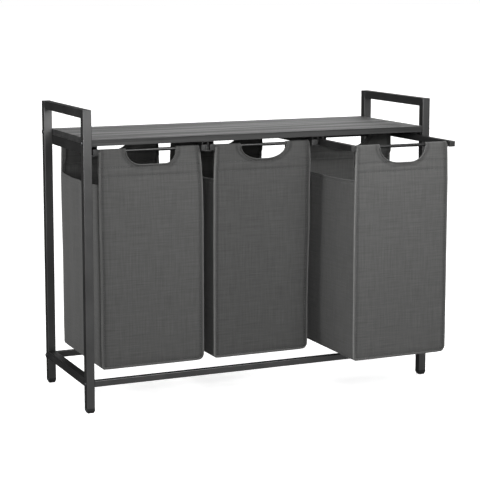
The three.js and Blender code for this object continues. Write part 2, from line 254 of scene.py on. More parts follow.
def woven(name, grey, thread=0.9 * MM, relief=0.16 * MM):
    """Plain-weave polyester. It reads the cloth attribute: metres across and along the weave, and
    how much lighter (+) or darker (-) the cloth is coloured there: painted highlight and painted shade on the
    tapes, and painted shade along the panels' seams, rows of stitching and edges."""
    material, tree, shader = new_material(name, Roughness=0.86, Specular_IOR_Level=0.22,
                                          Sheen_Weight=0.12, Sheen_Roughness=0.5)
    where = add_node(tree, "Attribute", {"attribute_name": "cloth"}).outputs["Vector"]
    split = add_node(tree, "SeparateXYZ", Vector=where)
    # painted highlight (+) and painted shade (-) from the cloth attribute, as a factor on the colour
    painted_light = math_node(tree, "ADD", split.outputs[2], 1.0)
    turn = math.pi / thread
    across = math_node(tree, "SINE", math_node(tree, "MULTIPLY", split.outputs[0], turn))
    along = math_node(tree, "SINE", math_node(tree, "MULTIPLY", split.outputs[1], turn))
    weave = math_node(tree, "MULTIPLY", across, along)
    warp_slub = stretched_noise(tree, where, (560, 14, 0), 2, 0.6)
    weft_slub = stretched_noise(tree, where, (14, 560, 0), 2, 0.6)
    warp_band = stretched_noise(tree, where, (240, 16, 0), 3, 0.6)
    weft_band = stretched_noise(tree, where, (16, 240, 0), 3, 0.6)
    slubs = math_node(tree, "ADD", warp_slub, weft_slub)
    bands = math_node(tree, "ADD", warp_band, weft_band)
    tone = weighted_sum(tree, (slubs, 0.25), (bands, 0.25))
    stops = [(0.38, grey * 0.79), (0.5, grey), (0.62, grey * 1.22)]
    warm = [(place, (tint, tint, tint * 0.98)) for place, tint in stops]
    feed(shader, "Base Color", multiplied(tree, ramp(tree, tone, warm), painted_light))
    bump(tree, shader, weighted_sum(tree, (weave, 0.5), (slubs, 0.6)), relief, 0.55)
    return material


def thread_material():
    """Sewing thread, about as dark as the cloth."""
    material, tree, shader = new_material("thread", Roughness=0.6, Sheen_Weight=0.2)
    cloud = stretched_noise(tree, object_coordinates(tree), (300, 300, 300), 2)
    feed(shader, "Base Color", ramp(tree, cloud, [(0.3, 0.045), (0.7, 0.075)]))
    return material


COAT = powder_coat("powder_coat", 0.115)
ROD_COAT = powder_coat("rod_coat", 0.048)
FOOT_PLASTIC = moulded_plastic("foot_plastic", 0.016, 0.5)
CAP_PLASTIC = moulded_plastic("cap_plastic", 0.034, 0.42)
NYLON = moulded_plastic("nylon", 0.03, 0.38)
ZINC = black_zinc()
SHELF_FACE = wood_grain("shelf_face", 0.006, 0.108, 0.68)
SHELF_EDGE = wood_grain("shelf_edge", 0.012, 0.025, 0.6)
STIFFENER = fibreboard()
# Bag 2, in the middle, is coloured darker than the others: painted shade for the lower light it gets between
# them.
CLOTH_GREYS = {1: 0.063, 2: 0.052, 3: 0.066}
CLOTHS = {number: woven(f"bag_{number}_cloth", grey) for number, grey in CLOTH_GREYS.items()}
TAPE = woven("bag_tape", 0.1, 0.6 * MM, 0.1 * MM)
THREAD = thread_material()


# -------------------- hard parts kept from the CAD
# How far the edges of each kind of part are rounded.
ROUNDING = {"tube": 1.3 * MM, "slim_tube": 1.2 * MM, "sheet": 0.3 * MM, "foot": 0.8 * MM, "cap": 0.5 * MM,
            "glide": 0.6 * MM, "shelf": 0.7 * MM, "stiffener": 1.0 * MM}
WELD_DISTANCE = 0.001 * MM
BOX_TOLERANCE = 0.01 * MM
SHARP_ANGLE = math.radians(32)
TURNED_SHARP_ANGLE = math.radians(35)


def rounded_copy(node, materials, kind, axis=None, segments=3):
    """A copy of a CAD node with the edges of its box rounded. With an axis, only the edges along
    it are rounded, as on a tube whose ends are cut square."""
    low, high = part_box(node)
    mesh = frame["nodes"][node].data.copy()
    shape = bmesh.new()
    shape.from_mesh(mesh)
    bmesh.ops.remove_doubles(shape, verts=shape.verts, dist=WELD_DISTANCE)
    bmesh.ops.dissolve_limit(shape, angle_limit=math.radians(1), verts=shape.verts, edges=shape.edges)

    def on_box(vertex):
        return {(k, side) for k in range(3) for side, at in ((0, low[k]), (1, high[k]))
                if abs(vertex.co[k] - at) < BOX_TOLERANCE}

    chosen = []
    for edge in shape.edges:
        a, b = edge.verts
        run = b.co - a.co
        along = max(range(3), key=lambda k: abs(run[k]))
        if len(on_box(a) & on_box(b)) >= 2 and (axis is None or along == axis):
            chosen.append(edge)
    bmesh.ops.bevel(shape, geom=chosen, offset=ROUNDING[kind], segments=segments, profile=0.5,
                    affect="EDGES", clamp_overlap=True)
    shape.to_mesh(mesh)
    shape.free()
    mesh.polygons.foreach_set("use_smooth", [True] * len(mesh.polygons))
    mesh.set_sharp_from_angle(angle=SHARP_ANGLE)
    piece = new_piece(f"{node}_finished", mesh, body_of_node(node), materials, [node])
    flat = piece.modifiers.new("flat_faces", "WEIGHTED_NORMAL")
    flat.weight = 100
    flat.keep_sharp = True
    return piece


def steel_tubes():
    for corner in CORNERS:
        rounded_copy(f"post_{corner}", [COAT], "tube", Z)
    for side in SIDES:
        rounded_copy(f"top_bar_{side}", [COAT], "tube", Y)
        rounded_copy(f"lower_side_bar_{side}", [COAT], "tube", Y)
    for end in ENDS:
        rounded_copy(f"crossbar_{end}", [COAT], "slim_tube", X)
    for number in BAGS:
        for side in SIDES:
            rounded_copy(f"bag_{number}_runner_{side}", [COAT], "slim_tube", Y)


def plastic_parts():
    for corner in CORNERS:
        rounded_copy(f"foot_{corner}", [FOOT_PLASTIC], "foot")
    for number in BAGS:
        for side in SIDES:
            rounded_copy(f"bag_{number}_front_cap_{side}", [CAP_PLASTIC], "cap")
            rounded_copy(f"bag_{number}_rear_glide_{side}", [NYLON], "glide")


def guide_rails():
    for place in ("left_end", "centre_left", "centre_right", "right_end"):
        rounded_copy(f"guide_{place}", [COAT], "sheet", Y, segments=2)


def shelf():
    board = rounded_copy("shelf_board", [SHELF_FACE, SHELF_EDGE], "shelf")
    for polygon in board.data.polygons:
        polygon.material_index = 0 if abs(polygon.normal.z) > 0.5 else 1


def base_boards():
    for number in BAGS:
        rounded_copy(f"bag_{number}_base_board", [STIFFENER], "stiffener")


# -------------------- round parts
ROD_CHAMFER = 0.6 * MM
BOLT_HEAD_HEIGHT = 3.2 * MM
BOLT_EDGE = 0.3 * MM  # bevel between the head's seat and its dome
BOLT_SHANK_RADIUS = 2.9 * MM
BOLT_TIP = 0.6 * MM  # bevel of the shank's end
DOME_ANGLE, DOME_STEPS = math.radians(62), 6
DOME_POWER = 0.9  # below 1, the dome is fuller than a round one
SOCKET_FLATS, SOCKET_DEPTH = 4 * MM, 2 * MM
SOCKET_BEVEL, SOCKET_FLARE = 0.25 * MM, 1.1


def tube_faces(rings, sides):
    """Faces of a solid whose points lie in rings, with a flat face on both ends."""
    faces = []
    for ring in range(rings - 1):
        for k in range(sides):
            a, b = ring * sides + k, ring * sides + (k + 1) % sides
            faces.append((a, b, b + sides, a + sides))
    faces.append(tuple(range(sides))[::-1])
    faces.append(tuple(range((rings - 1) * sides, rings * sides)))
    return faces


def lathe(name, profile, start, sides=40):
    """A solid turned round X: profile is (distance from start, radius), from one end to the other."""
    points = []
    for run, radius in profile:
        for k in range(sides):
            angle = 2 * math.pi * k / sides
            points.append(start + Vector((run, radius * math.cos(angle), radius * math.sin(angle))))
    mesh = mesh_from(name, points, tube_faces(len(profile), sides))
    mesh.set_sharp_from_angle(angle=TURNED_SHARP_ANGLE)
    return mesh


def rods():
    for number in BAGS:
        for end in ENDS:
            node = f"bag_{number}_rod_{end}"
            low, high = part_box(node)
            radius = (high.z - low.z) / 2
            length = high.x - low.x
            profile = [(0, radius - ROD_CHAMFER), (ROD_CHAMFER, radius), (length - ROD_CHAMFER, radius),
                       (length, radius - ROD_CHAMFER)]
            middle = (low + high) / 2
            mesh = lathe(f"{node}_finished", profile, Vector((low.x, middle.y, middle.z)))
            new_piece(f"{node}_finished", mesh, f"bag_{number}", [ROD_COAT], [node])


def hexagon_radius(angle, flats):
    """Distance from the middle of a hexagon to its edge, at an angle; flats is across the flats."""
    within = (angle % (math.pi / 3)) - math.pi / 6
    return flats / 2 / math.cos(within)


def bolt(node, sides=48):
    """A dome-headed bolt with a hexagon socket; its shank goes through the post."""
    low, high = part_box(node)
    side = LEFT if low.x < 0 else RIGHT
    head_radius = (high.z - low.z) / 2
    seat = (low.x if side == LEFT else high.x) - side * BOLT_HEAD_HEIGHT
    shank = (high.x - low.x) - BOLT_HEAD_HEIGHT
    centre = (low + high) / 2
    round_rings = [(-shank, BOLT_SHANK_RADIUS - BOLT_TIP), (-shank + BOLT_TIP, BOLT_SHANK_RADIUS),
                   (0, BOLT_SHANK_RADIUS), (0, head_radius - BOLT_EDGE), (BOLT_EDGE, head_radius)]
    for step in range(1, DOME_STEPS + 1):
        angle = step / DOME_STEPS * DOME_ANGLE
        rise = (BOLT_HEAD_HEIGHT - BOLT_EDGE) * math.sin(angle) / math.sin(DOME_ANGLE)
        round_rings.append((BOLT_EDGE + rise, head_radius * math.cos(angle) ** DOME_POWER))
    socket_rings = [(BOLT_HEAD_HEIGHT, SOCKET_FLATS * SOCKET_FLARE),
                    (BOLT_HEAD_HEIGHT - SOCKET_BEVEL, SOCKET_FLATS),
                    (BOLT_HEAD_HEIGHT - SOCKET_DEPTH, SOCKET_FLATS)]
    angles = [2 * math.pi * k / sides for k in range(sides)]
    rings = [(height, [radius] * sides) for height, radius in round_rings]
    rings += [(height, [hexagon_radius(angle, flats) for angle in angles]) for height, flats in socket_rings]
    points = [(seat + side * height, centre.y + radius * math.cos(angle),
               centre.z + side * radius * math.sin(angle))
              for height, radii in rings for angle, radius in zip(angles, radii)]
    mesh = mesh_from(f"{node}_finished", points, tube_faces(len(rings), sides))
    mesh.set_sharp_from_angle(angle=TURNED_SHARP_ANGLE)
    new_piece(f"{node}_finished", mesh, "frame", [ZINC], [node])


def bolts():
    for corner in CORNERS:
        bolt(f"shelf_bolt_{corner}")
        bolt(f"crossbar_bolt_{corner}")


# -------------------- sweeps and stitches
TAPE_PAINTED_HIGHLIGHT, TAPE_PAINTED_SHADE = 1.1, 0.3  # painted highlight on a tape's lit side, painted shade elsewhere
STITCH_LENGTH = 3.0 * MM
STITCH_GAP = 1.3 * MM
STITCH_WIDTH = 0.7 * MM
STITCH_RISE = 0.45  # as a share of its width
STITCH_SHOULDERS = (0.22, 0.78)  # where it is thickest, along its length
STITCH_SUNK = 0.6  # how deep its ends go in, as a share of its rise


def sweep(frames, section):
    """Points and faces of a section carried along frames. A frame is (point, side, normal), and a
    section point is (how far to the side, how far along the normal)."""
    points = [place + side * a + normal * b for place, side, normal in frames for a, b in section]
    return points, tube_faces(len(frames), len(section))


def flat_section(width, thickness, sides=10, power=0.8):
    """A flat tape's section with round edges; a power below 1 makes it squarer than an ellipse."""
    section = []
    for k in range(sides):
        angle = 2 * math.pi * k / sides
        c, s = math.cos(angle), math.sin(angle)
        section.append((width / 2 * math.copysign(abs(c) ** power, c),
                        thickness / 2 * math.copysign(abs(s) ** power, s)))
    return section


def fix_normals(mesh):
    shape = bmesh.new()
    shape.from_mesh(mesh)
    bmesh.ops.recalc_face_normals(shape, faces=shape.faces)
    shape.to_mesh(mesh)
    shape.free()


def set_cloth(mesh, values):
    """Writes the cloth attribute that woven() reads, three values for each vertex."""
    attribute = mesh.attributes.new("cloth", "FLOAT_VECTOR", "POINT")
    attribute.data.foreach_set("vector", [c for value in values for c in value])


def tape_painted_light(outward):
    """Painted highlight: how much lighter a tape is coloured toward its lit side (outward 1), where its
    rounded edge would catch the light; painted shade: how much darker elsewhere.
    """
    return TAPE_PAINTED_HIGHLIGHT * max(0.0, outward) ** 2 - TAPE_PAINTED_SHADE if outward else 0.0


def tape(name, body, frames, width, thickness, material, lit_side=0):
    """A sewn tape along frames. It gets a painted highlight on the outer (1) or inner (-1) side and painted
    shade elsewhere, or is coloured evenly (0).
    """
    section = flat_section(width, thickness)
    mesh = mesh_from(name, *sweep(frames, section))
    fix_normals(mesh)
    run, values = 0.0, []
    for i, (place, _, _) in enumerate(frames):
        run += (place - frames[i - 1][0]).length if i else 0.0
        values += [(k * width / len(section), run, tape_painted_light(lit_side * out / (width / 2)))
                   for k, (out, _) in enumerate(section)]
    set_cloth(mesh, values)
    new_piece(name, mesh, body, [material])


def stitch_row(frames, points, faces):
    """Adds stitches along frames to points and faces: small raised dashes of thread."""
    places = [f[0] for f in frames]
    runs = [0.0]
    for a, b in zip(places, places[1:]):
        runs.append(runs[-1] + (b - a).length)

    def at(run):
        i = next((k for k in range(1, len(runs)) if runs[k] >= run), len(runs) - 1)
        t = (run - runs[i - 1]) / max(1e-9, runs[i] - runs[i - 1])
        return places[i - 1].lerp(places[i], t), frames[i][2]

    pitch = STITCH_LENGTH + STITCH_GAP
    for n in range(int(runs[-1] / pitch)):
        start, normal = at(n * pitch + STITCH_GAP / 2)
        stop, _ = at(n * pitch + STITCH_GAP / 2 + STITCH_LENGTH)
        side = (stop - start).cross(normal).normalized() * STITCH_WIDTH / 2
        lift = normal * STITCH_WIDTH * STITCH_RISE
        base = len(points)
        points.append(start - lift * STITCH_SUNK)
        for t in STITCH_SHOULDERS:
            middle = start.lerp(stop, t)
            points.extend([middle + side, middle + lift, middle - side, middle - lift])
        points.append(stop - lift * STITCH_SUNK)
        for k in range(4):
            m = (k + 1) % 4
            faces.append((base, base + 1 + m, base + 1 + k))
            faces.append((base + 1 + k, base + 1 + m, base + 5 + m, base + 5 + k))
            faces.append((base + 9, base + 5 + k, base + 5 + m))


# -------------------- the bags
CLOTH_THICKNESS = 1.0 * MM
GRID = 7 * MM  # spacing of the cloth's grid
SIDE_TOP_SHARE = 0.841  # height of the side panels' top edge, as a share of the bag's
CORNER_RADII = {LEFT: 8 * MM, RIGHT: 14 * MM}  # the panels' bottom corners
# Each bag's outline: (share of its height, how far it reaches left, and right, of its middle in mm).
OUTLINES = {
    1: [(0.0, 124.5, 136.0), (0.1, 125.0, 136.0), (0.45, 125.0, 135.5), (0.65, 126.5, 135.5),
        (0.8, 127.0, 134.5), (0.92, 126.0, 131.0), (1.0, 124.5, 127.0)],
    2: [(0.0, 130.0, 122.0), (0.22, 130.3, 122.0), (0.34, 130.3, 123.0), (0.47, 130.3, 124.6),
        (0.57, 130.3, 126.4), (0.8, 129.6, 126.8), (0.87, 128.8, 128.4), (0.93, 127.1, 128.8),
        (1.0, 124.8, 127.0)],
    3: [(0.0, 127.7, 128.4), (0.1, 128.6, 128.5), (0.6, 128.6, 128.5), (0.82, 127.1, 128.5),
        (0.92, 125.8, 128.2), (1.0, 124.8, 127.0)],
}
# Hand holes, mm: reach left, reach right, length of the left and right corners, depth under the rod.
FRONT_HOLES = {1: (58, 68, 38, 27, 34), 2: (58, 65, 50, 54, 34), 3: (60, 67, 52, 42, 40)}
REAR_HOLES = {1: (62, 52, 48, 48, 31), 2: (62, 62, 48, 48, 31), 3: (62, 62, 48, 48, 31)}
STITCH_DROPS = (38 * MM, 60 * MM)  # rows of stitching, below the rod's middle
FACING_DROP = 63 * MM  # how far the folded-over layer hangs inside
FACING_SEWN = 1.6 * MM  # how far behind the outer layer it is where both are sewn
SLEEVE_HEIGHT = 0.98  # how high the sleeve rises over the rod's middle, as a share of its depth
EDGE_STEPS = (0, 2, 4, 6, 7.5, 9, 11, 14)  # mm from a panel's edge to its first columns
HOLE_STEPS = (10, 7.5, 5, 2.5, 0)  # mm from the hand hole to the columns beside it
COLUMNS_BETWEEN = 12  # steps between those two sets of columns
# Steps round a bottom corner, over the rod, up the hand hole, and along its corners.
CORNER_STEPS, SLEEVE_STEPS, HOLE_LEVELS, HOLE_ARC_STEPS = 6, 6, 10, 12
LIP_DROP = 7 * MM  # where the two layers begin to be joined round the hand hole
SAME_HEIGHT = 0.01 * MM  # heights closer than this count as one
ROW_STEP = 1.5 * MM  # from a row of stitching to the points above and below it
GUSSET_STEPS = (0, 3, 6)  # mm from the gusset's edge to its first rows
EDGE_SEAM, HOLE_SEAM = 7.5 * MM, 7.5 * MM  # from a panel's edge and from its hand hole
# How far the panels stand out: slow shapes first, then finer ones.
BELLY, FOLDS, CREASES, PUCKER = 3.5 * MM, 2.0 * MM, 0.7 * MM, 0.4 * MM
EDGE_ROLL, EDGE_ROLL_WIDTH = 2.6 * MM, 5 * MM
RIGHT_ROLL, RIGHT_ROLL_WIDTH = 3 * MM, 12 * MM  # how the right edge of a panel turns back
# How far the cloth is drawn in along its seams, its rows of stitching and the hand hole.
SEAM_GROOVE, HOLE_GROOVE, SEAM_WIDTH = 1.8 * MM, 2.2 * MM, 3.0 * MM
ROW_GROOVE, ROW_WIDTH = 1.5 * MM, 2.0 * MM
LIP_GROOVE, LIP_WIDTH = 1.4 * MM, 4 * MM
# Painted shade: how much darker the cloth is coloured in these grooves, and along its doubled left and right
# edges, a little on the left and much more on the right, which turns away from the light.
SEAM_SHADE, HOLE_SHADE, ROW_SHADE = 0.15, 0.35, 0.25
LEFT_SHADE, RIGHT_SHADE = 0.06, 0.24
SIDE_BELLY, SIDE_FOLDS, SIDE_CREASES, SIDE_ROLL = 2.2 * MM, 3.2 * MM, 0.8 * MM, 1.4 * MM
SIDE_DROOP = 5 * MM  # how far the top edge of a side panel sags
SOLE_BELLY, SOLE_CREASES = 2.0 * MM, 1.0 * MM
# Tapes: width and thickness.
EDGE_BINDING = (6.0 * MM, 5.6 * MM)
HAND_BINDING = (4.0 * MM, 4.0 * MM)
SIDE_HEM = (5.0 * MM, 2.8 * MM)
BINDING_INSET, BINDING_LIFT, BINDING_TUCK, BINDING_DROP = 1.8 * MM, 0.2 * MM, 3.0 * MM, 1 * MM
HAND_BINDING_OUTSET = 1.2 * MM
HEM_DROP, HEM_INSET, HEM_STITCH_DROP = 1.5 * MM, 0.5 * MM, 9 * MM
HEM_REACH = 0.985  # as a share of half the bag's depth
STITCH_LIFT, ROW_LIFT = 0.1 * MM, 0.15 * MM


def crease(distance, width):
    """A narrow groove's profile: 1 at its middle."""
    return math.exp(-(distance / width) ** 2)


class Bag:
    """The measures and the cloth surface of one bag, taken from its CAD solid and rod."""

    def __init__(self, number):
        self.number = number
        self.name = f"bag_{number}"
        low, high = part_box(f"{self.name}_fabric")
        rod_low, rod_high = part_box(f"{self.name}_rod_front")
        self.x = (low.x + high.x) / 2
        self.face = {FRONT: low.y, REAR: high.y}
        self.half_depth = (high.y - low.y) / 2
        self.bottom, self.top = low.z, high.z
        self.rod_z = (rod_low.z + rod_high.z) / 2
        self.sleeve = self.top - self.rod_z
        self.side_top = lerp(self.bottom, self.top, SIDE_TOP_SHARE)
        self.outline = OUTLINES[number]
        self.holes = {FRONT: FRONT_HOLES[number], REAR: REAR_HOLES[number]}
        self.seed = 11.7 * number

    def share(self, z):
        return (z - self.bottom) / (self.top - self.bottom)

    def reach(self, side, z):
        """How far the panels reach to one side, before the bottom corners are rounded."""
        share, column = self.share(z), 1 if side == LEFT else 2
        for below, above in zip(self.outline, self.outline[1:]):
            if share <= above[0]:
                t = (share - below[0]) / (above[0] - below[0])
                return lerp(below[column], above[column], max(0.0, t)) * MM
        return self.outline[-1][column] * MM

    def edge_x(self, side, z):
        """X of one edge of the front and rear panels at a height."""
        radius = CORNER_RADII[side]
        below = max(0.0, radius - (z - self.bottom))
        tuck = radius - math.sqrt(max(0.0, radius ** 2 - below ** 2))
        return self.x + side * (self.reach(side, z) - tuck)

    def hole_side(self, end, side):
        """Reach and corner length of one side of a hand hole, and its depth."""
        left, right, left_corner, right_corner, depth = self.holes[end]
        reach, corner = (left, left_corner) if side == LEFT else (right, right_corner)
        return reach * MM, corner * MM, depth * MM

    def hole_bottom(self, end):
        return self.rod_z - self.hole_side(end, RIGHT)[2]

    def hole_edge(self, end, side, z):
        """X of a hand hole's edge at a height, or of the end of its flat bottom below it."""
        reach, corner, depth = self.hole_side(end, side)
        t = min(1.0, max(0.0, (self.rod_z - z) / depth))
        return self.x + side * (reach - corner + corner * math.sqrt(1 - t * t))

    def from_hole(self, end, x, z):
        """Roughly how far a point of a panel is from the edge of its hand hole."""
        side = LEFT if x < self.x else RIGHT
        reach, corner, depth = self.hole_side(end, side)
        beyond = max(0.0, side * (x - self.x) - reach + corner) / corner
        return (math.hypot(beyond, (self.rod_z - z) / depth) - 1) * min(corner, depth)

    def from_edge(self, x, z):
        """How far a point of a panel is from its nearer edge."""
        return max(0.0, min(x - self.edge_x(LEFT, z), self.edge_x(RIGHT, z) - x))

    def near_rows(self, z, width):
        """1 at the height of a row of stitching, and less away from it."""
        return sum(crease(self.rod_z - z - drop, width) for drop in STITCH_DROPS)

    def edge_roll(self, x, z):
        """How far a panel stands out where its edges no longer turn back."""
        left, right = self.edge_x(LEFT, z), self.edge_x(RIGHT, z)
        height = z - self.bottom
        near = min(self.from_edge(x, z), max(0.0, height))
        from_right = (right - x) / RIGHT_ROLL_WIDTH
        turned = RIGHT_ROLL * math.sqrt(1 - max(0.0, 1 - from_right) ** 2) * (x - left) / (right - left)
        return (EDGE_ROLL * (1 - math.exp(-near / EDGE_ROLL_WIDTH))
                + turned * smoothstep(0.0, CORNER_RADII[RIGHT], height))

    def swell(self, end, x, z):
        """How far the front or rear panel stands out at a point."""
        left, right = self.edge_x(LEFT, z), self.edge_x(RIGHT, z)
        across = min(1.0, max(-1.0, (2 * x - left - right) / (right - left)))
        window = 1 - across ** 4
        share = self.share(z)
        hang = smoothstep(1.0, 0.8, share)
        sole = smoothstep(0.0, 0.06, share)
        slow = noise.noise(Vector((x * 13, end * 3.1 + self.seed, z * 2.3)))
        upright = noise.noise(Vector((x * 42, self.seed - end, z * 9)))
        fine = noise.noise(Vector((x * 160, z * 30, self.seed)))
        belly = BELLY * (1 - across ** 2) * hang * sole * math.sin(math.pi * min(1, share * 1.15)) ** 0.7
        folds = FOLDS * slow * window * sole * (0.25 + 0.75 * hang)
        creases = CREASES * upright * window * sole
        pucker = PUCKER * fine * smoothstep(0.8, 0.97, abs(across))
        hole = self.from_hole(end, x, z)
        seams = SEAM_GROOVE * crease(self.from_edge(x, z) - EDGE_SEAM, SEAM_WIDTH)
        seams += HOLE_GROOVE * crease(hole - HOLE_SEAM, SEAM_WIDTH)
        seams += ROW_GROOVE * window * self.near_rows(z, ROW_WIDTH)
        lip = LIP_GROOVE * math.exp(-max(0.0, hole) / LIP_WIDTH) * smoothstep(0.0, 12 * MM, self.rod_z - z)
        return (belly + folds + creases + pucker + self.edge_roll(x, z) * hang
                - seams * smoothstep(1.0, 0.97, share) - lip)

    def tone(self, end, x, z):
        """Painted shade (-) on a panel: in the grooves of its seams and rows of stitching, a little along its
        doubled left edge, and much more along its right edge, which turns away from the light.
        """
        from_left, from_right = x - self.edge_x(LEFT, z), self.edge_x(RIGHT, z) - x
        hole = self.from_hole(end, x, z)
        lines = SEAM_SHADE * crease(self.from_edge(x, z) - EDGE_SEAM, 2.5 * MM)
        lines += HOLE_SHADE * crease(hole - HOLE_SEAM, 2.6 * MM)
        lines += ROW_SHADE * self.near_rows(z, 1.6 * MM)
        # painted shade along the edges: a little on the doubled left edge, much more on the right edge, which
        # turns from the light
        painted_edge_shade = LEFT_SHADE * smoothstep(14 * MM, 8 * MM, from_left)
        painted_edge_shade += RIGHT_SHADE * smoothstep(15 * MM, 8 * MM, from_right)
        return -painted_edge_shade - lines

    def panel_point(self, end, x, z):
        return Vector((x, self.face[end] + end * self.swell(end, x, z), z))

    def facing_gap(self, end, x, z):
        """How far behind the outer layer the folded-over layer hangs; it is sewn round the hole."""
        drop = self.rod_z - z
        free = lerp(2 * self.sleeve, FACING_SEWN, smoothstep(44 * MM, 58 * MM, drop))
        loose = max(smoothstep(6 * MM, 26 * MM, self.from_hole(end, x, z)), smoothstep(16 * MM, 0.0, drop))
        return lerp(FACING_SEWN, free, loose)

    def facing_point(self, end, x, z):
        point = self.panel_point(end, x, z)
        return Vector((x, point.y - end * self.facing_gap(end, x, z), z))

    def side_swell(self, side, depth, z):
        """How far a side panel stands out; depth runs from -1 at the front to 1 at the rear."""
        window = 1 - depth ** 4
        share = self.share(z) / SIDE_TOP_SHARE
        sole = smoothstep(0.0, 0.12, share)
        slack = lerp(1.0, 1.9, smoothstep(0.5, 1.0, share))
        slow = noise.noise(Vector((side * 5.3 + self.seed, depth * 2.6, z * 2.0)))
        fine = noise.noise(Vector((self.seed, depth * 8.5 + side, z * 11)))
        belly = SIDE_BELLY * (1 - depth ** 2) * sole
        folds = SIDE_FOLDS * slow * window * sole * slack
        creases = SIDE_CREASES * fine * window * sole
        roll = SIDE_ROLL * (1 - math.exp(-(1 - abs(depth)) * self.half_depth / EDGE_ROLL_WIDTH))
        return belly + folds + creases + roll

    def gusset_path(self):
        """The outline of the side panels and bottom, from the left top edge to the right one:
        (x, z, outward x, outward z, side). The side is 0 on the bottom."""
        path = []
        for side in (LEFT, RIGHT):
            radius = CORNER_RADII[side]
            stretch = [(self.edge_x(side, z), z, side, 0.0, side)
                       for z in spread(self.side_top, self.bottom + radius, GRID)]
            for step in range(1, CORNER_STEPS):
                angle = step / CORNER_STEPS * math.pi / 2
                z = self.bottom + radius * (1 - math.sin(angle))
                stretch.append((self.edge_x(side, z), z, side * math.cos(angle), -math.sin(angle), side))
            path += stretch if side == LEFT else stretch[::-1]
            if side == LEFT:
                ends = [self.x + k * (self.reach(k, self.bottom) - CORNER_RADII[k]) for k in (LEFT, RIGHT)]
                path += [(x, self.bottom, 0.0, -1.0, 0) for x in spread(*ends, GRID)]
        return path

    def gusset_point(self, entry, depth):
        """A point of the gusset at an outline entry, depth from -1 (front) to 1 (rear)."""
        x, z, out_x, out_z, side = entry
        y = lerp(self.face[FRONT], self.face[REAR], (depth + 1) / 2)
        if side:
            out = self.side_swell(side, depth, z)
            droop = SIDE_DROOP * (1 - depth ** 2) * smoothstep(0.8, 1.0, self.share(z) / SIDE_TOP_SHARE)
        else:
            middle = 1 - ((x - self.x) / self.reach(RIGHT, z)) ** 2
            slow = noise.noise(Vector((x * 15, depth * 3, self.seed)))
            out = SOLE_BELLY * (1 - depth ** 2) * middle + SOLE_CREASES * slow * middle * (1 - depth ** 4)
            droop = 0.0
        return Vector((x + out_x * out, y, z + out_z * out - droop))


class Grid:
    """Collects the points of cloth panels, the values of their cloth attribute and their faces."""

    def __init__(self):
        self.points, self.cloth, self.faces = [], [], []

    def row(self, points, cloths):
        first = len(self.points)
        self.points += points
        self.cloth += cloths
        return list(range(first, first + len(points)))

    def join(self, lower, upper):
        for a, b, c, d in zip(lower, lower[1:], upper[1:], upper):
            self.faces.append((a, b, c, d))


def panel_rows(bag, end):
    """Heights of the rows of a front or rear panel below its hand hole, and beside it, closer
    together where the shape turns."""
    radius = max(CORNER_RADII.values())
    hole_bottom = bag.hole_bottom(end)
    rows = [bag.bottom + radius * (1 - math.cos(step / CORNER_STEPS * math.pi / 2))
            for step in range(CORNER_STEPS + 1)]
    for stop in [bag.rod_z - drop for drop in sorted(STITCH_DROPS, reverse=True)]:
        rows += spread(rows[-1], stop - 2 * ROW_STEP, GRID)[1:] + [stop - ROW_STEP, stop, stop + ROW_STEP]
    lower = {z for z in rows if z < hole_bottom - 0.4 * MM} | {hole_bottom - 2.5 * MM, hole_bottom}
    upper = [lerp(bag.rod_z, hole_bottom, math.cos(step / HOLE_LEVELS * math.pi / 2))
             for step in range(1, HOLE_LEVELS + 1)]
    return sorted(lower), upper


def panel_columns(bag, end, z):
    """X of the points across a panel at a height: left part, middle part, right part. The middle
    part spans the flat bottom of the hand hole, and is open above it."""
    parts = []
    for side in (LEFT, RIGHT):
        edge, hole = bag.edge_x(side, z), bag.hole_edge(end, side, z)
        near = [edge - side * step * MM for step in EDGE_STEPS]
        far = [hole + side * step * MM for step in HOLE_STEPS]
        between = [lerp(near[-1], far[0], i / COLUMNS_BETWEEN) for i in range(1, COLUMNS_BETWEEN)]
        parts.append(near + between + far)
    left, right = parts[0], parts[1][::-1]
    flat = [bag.hole_edge(end, side, bag.bottom) for side in (LEFT, RIGHT)]
    return left, spread(*flat, GRID)[1:-1], right


